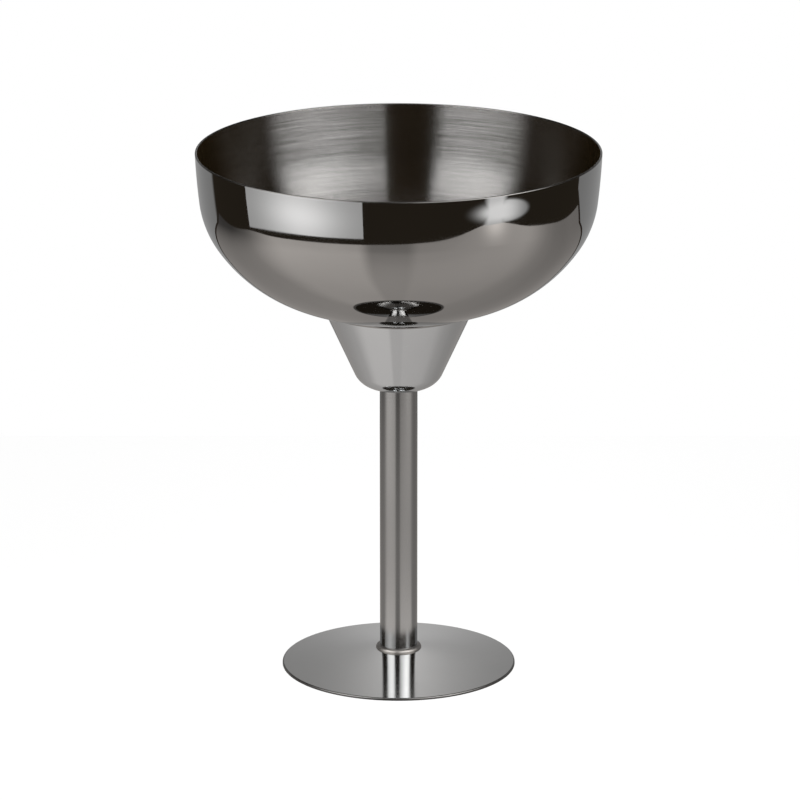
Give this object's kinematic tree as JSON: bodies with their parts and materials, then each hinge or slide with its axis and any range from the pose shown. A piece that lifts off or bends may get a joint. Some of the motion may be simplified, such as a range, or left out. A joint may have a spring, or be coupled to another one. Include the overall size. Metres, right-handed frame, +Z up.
{
  "type": "margarita glass",
  "caption": "Stemmed margarita cup of dark polished sheet steel: a wide bowl over a stepped lower cup, on a plain tube stem and a round disc foot.",
  "frame": {"origin": "centre of the ring that the foot stands on", "axes": "+Z up along the stem, from the foot to the rim; X and Y level and free, since the cup is round"},
  "size_m": [0.118, 0.118, 0.1565],
  "materials": {
    "bowl_steel": "gunmetal coat, mirror polished outside and brushed round inside",
    "cup_steel": "gunmetal coat, satin polished",
    "stem_steel": "gunmetal coat, polished along its length",
    "foot_steel": "gunmetal coat, mirror polished",
    "weld_steel": "dressed weld under the gunmetal coat",
    "plug_steel": "turned, uncoated"
  },
  "bodies": {
    "root": {"upper_bowl": "bowl_steel", "lower_cup": "cup_steel", "seam_weld": "weld_steel", "stem_tube": "stem_steel", "stem_plug": "plug_steel", "foot_plate": "foot_steel", "foot_weld": "weld_steel"}
  },
  "joints": []
}
